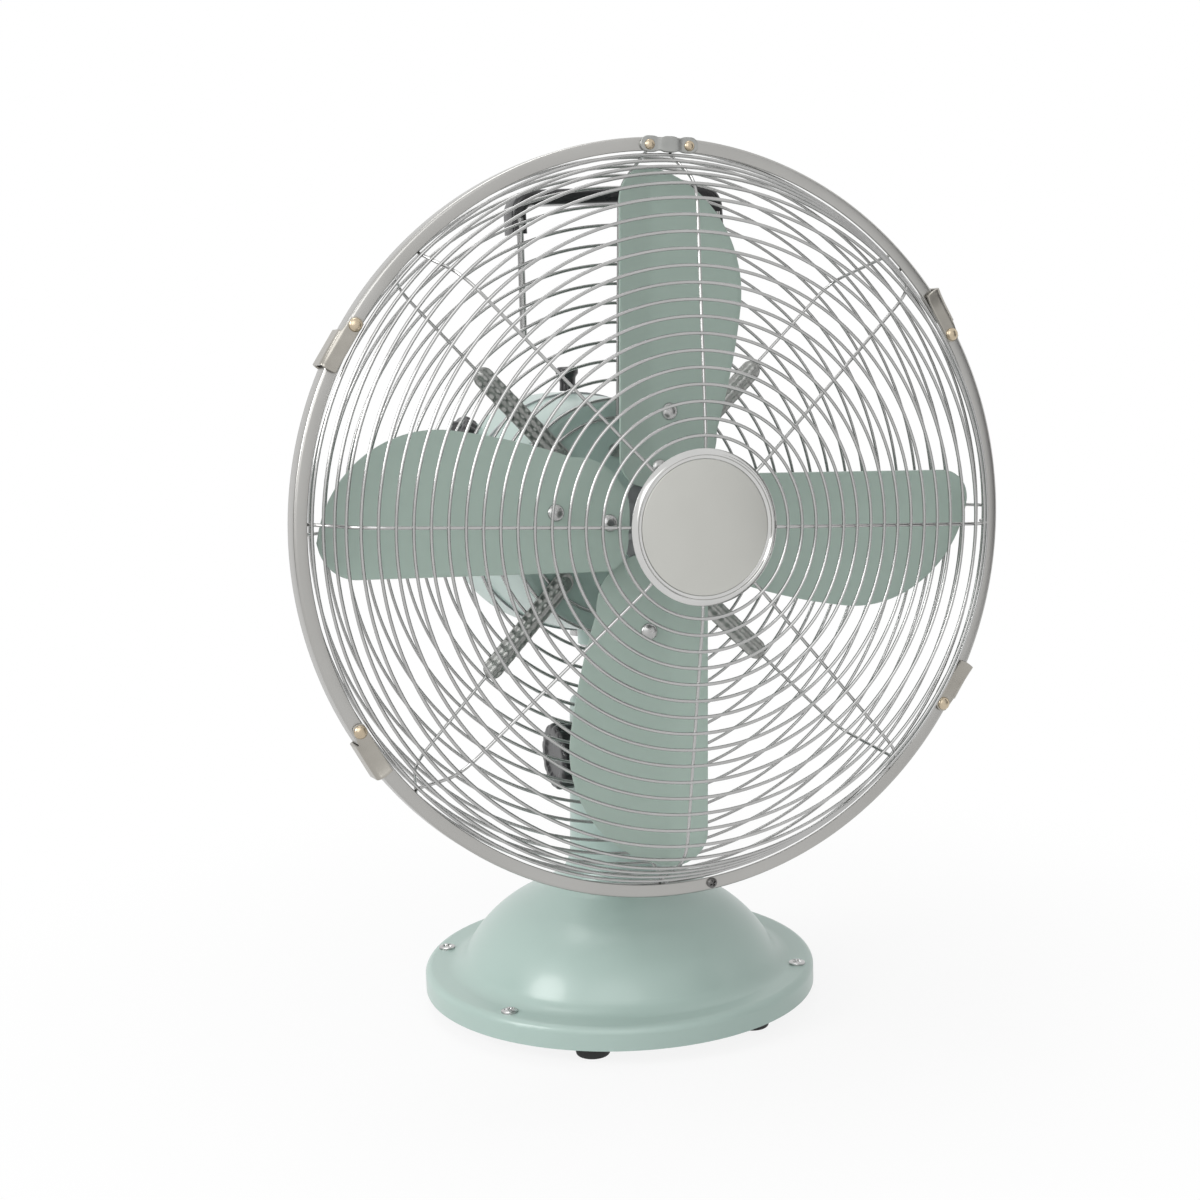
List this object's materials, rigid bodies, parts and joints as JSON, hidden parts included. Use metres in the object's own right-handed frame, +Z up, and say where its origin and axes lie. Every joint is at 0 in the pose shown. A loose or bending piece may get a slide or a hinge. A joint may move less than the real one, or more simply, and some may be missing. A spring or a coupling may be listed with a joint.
{
  "type": "oscillating desk fan",
  "caption": "Oscillating desk fan with folded sheet blades in a round wire cage, a drum motor on a tilting neck and a domed base.",
  "frame": {"origin": "on the table, under the middle of the whole fan; the column stands 9.2 mm behind it", "axes": "+Z up, the fan faces -Y, +X to the right as seen from the front"},
  "size_m": [0.336, 0.2182, 0.4117],
  "materials": {
    "green_paint": "satin",
    "chrome_wire": "polished",
    "satin_band": "satin",
    "badge_metal": "satin",
    "clip_metal": "satin",
    "brass": "worn",
    "black_gloss": "gloss",
    "black_rubber": "matte",
    "screw_steel": "zinc plated",
    "plate_steel": "zinc plated",
    "cast_iron": "rough",
    "laminations": "stacked sheet",
    "coil_tape": "lacing tape",
    "white_plastic": "moulded"
  },
  "bodies": {
    "base": {"base_shell": "green_paint", "base_plate": "plate_steel", "base_weight": "cast_iron", "rubber_feet": "black_rubber", "flange_screws": "screw_steel", "cord_gland": "black_rubber", "tilt_bolt": "screw_steel"},
    "tilt_head": {"tilt_knuckle": "green_paint", "tilt_washers": "screw_steel", "swivel_pin": "screw_steel", "swivel_washer": "screw_steel", "swivel_clip": "screw_steel"},
    "tilt_knob": {"tilt_knob": "black_gloss"},
    "fan_head": {"motor_front_cover": "green_paint", "motor_housing": "green_paint", "rear_bracket": "plate_steel", "rear_shell": "green_paint", "stator_core": "laminations", "stator_coils": "coil_tape", "shaft_bearings": "brass", "gearbox_case": "white_plastic", "rear_screw": "screw_steel", "speed_switch": "white_plastic", "cover_screws": "screw_steel", "strap_screws": "screw_steel", "cage_straps": "clip_metal", "rear_grille": "chrome_wire", "front_grille": "chrome_wire", "cage_band": "satin_band", "badge_rim": "chrome_wire", "badge_plate": "badge_metal", "badge_clamp": "plate_steel", "top_bracket": "clip_metal", "band_rivets": "brass", "band_screw": "screw_steel", "handle_grip": "black_gloss", "handle_struts": "chrome_wire"},
    "rotor": {"motor_shaft": "screw_steel", "rotor_core": "laminations", "worm": "brass", "blade_spider": "plate_steel", "blade_1": "green_paint", "blade_2": "green_paint", "blade_3": "green_paint", "blade_4": "green_paint", "blade_rivets": "plate_steel", "hub_washer": "screw_steel", "hub_nut": "screw_steel"},
    "worm_wheel": {"worm_wheel": "white_plastic"},
    "crank": {"crank_gear": "white_plastic", "crank_disc": "screw_steel"},
    "crank_link": {"crank_link": "screw_steel"},
    "pull_knob": {"pull_knob": "black_gloss", "pull_rod": "screw_steel"},
    "speed_knob": {"speed_knob": "black_gloss"},
    "clip_1": {"clip_1": "clip_metal"},
    "clip_2": {"clip_2": "clip_metal"},
    "clip_3": {"clip_3": "clip_metal"},
    "clip_4": {"clip_4": "clip_metal"}
  },
  "joints": [
    {"name": "tilt", "type": "hinge", "parent": "base", "child": "tilt_head", "pos_m": [0, 0.00922, 0.1235], "axis": [1, 0, 0], "range_deg": [-15, 12]},
    {"name": "tilt_knob_turn", "type": "hinge", "parent": "base", "child": "tilt_knob", "pos_m": [-0.028, 0.00922, 0.1235], "axis": [1, 0, 0], "range_deg": [0, 180]},
    {"name": "swivel", "type": "hinge", "parent": "tilt_head", "child": "fan_head", "pos_m": [0, 0.00922, 0.1235], "axis": [0, 0.0837, 0.9965], "range_deg": [-28, 25]},
    {"name": "fan_spin", "type": "hinge", "parent": "fan_head", "child": "rotor", "pos_m": [0, 0.01873, 0.2367], "axis": [0, 0.9965, -0.0837], "continuous": true},
    {"name": "worm_wheel_turn", "type": "hinge", "parent": "fan_head", "child": "worm_wheel", "pos_m": [0.01, 0.07901, 0.23164], "axis": [0, 0.0837, 0.9965], "continuous": true},
    {"name": "crank_turn", "type": "hinge", "parent": "fan_head", "child": "crank", "pos_m": [0.01, 0.06055, 0.19104], "axis": [0, 0.0837, 0.9965], "continuous": true},
    {"name": "link_swing", "type": "hinge", "parent": "tilt_head", "child": "crank_link", "pos_m": [0.018, 0.01324, 0.17133], "axis": [0, 0.0837, 0.9965], "range_deg": [-30, 30]},
    {"name": "pull_slide", "type": "slide", "parent": "fan_head", "child": "pull_knob", "axis": [0, 0.0837, 0.9965], "range_m": [0, 0.006]},
    {"name": "speed_turn", "type": "hinge", "parent": "fan_head", "child": "speed_knob", "pos_m": [-0.04808, 0.08333, 0.26506], "axis": [-0.8192, 0.048, 0.5716], "range_deg": [0, 135]},
    {"name": "clip_1_turn", "type": "hinge", "parent": "fan_head", "child": "clip_1", "pos_m": [-0.13549, -0.05666, 0.33683], "axis": [0, 0.9965, -0.0837], "range_deg": [0, 50]},
    {"name": "clip_2_turn", "type": "hinge", "parent": "fan_head", "child": "clip_2", "pos_m": [-0.1456, -0.0709, 0.16719], "axis": [0, 0.9965, -0.0837], "range_deg": [0, 50]},
    {"name": "clip_3_turn", "type": "hinge", "parent": "fan_head", "child": "clip_3", "pos_m": [0.1464, -0.05819, 0.31866], "axis": [0, 0.9965, -0.0837], "range_deg": [0, 50]},
    {"name": "clip_4_turn", "type": "hinge", "parent": "fan_head", "child": "clip_4", "pos_m": [0.134, -0.07248, 0.14844], "axis": [0, 0.9965, -0.0837], "range_deg": [0, 50]}
  ],
  "couplings": [
    {"joint": "worm_wheel_turn", "follows": "fan_spin", "ratio": 0.033333},
    {"joint": "crank_turn", "follows": "fan_spin", "ratio": -0.006667},
    {"joint": "link_swing", "follows": "swivel", "ratio": 1}
  ]
}
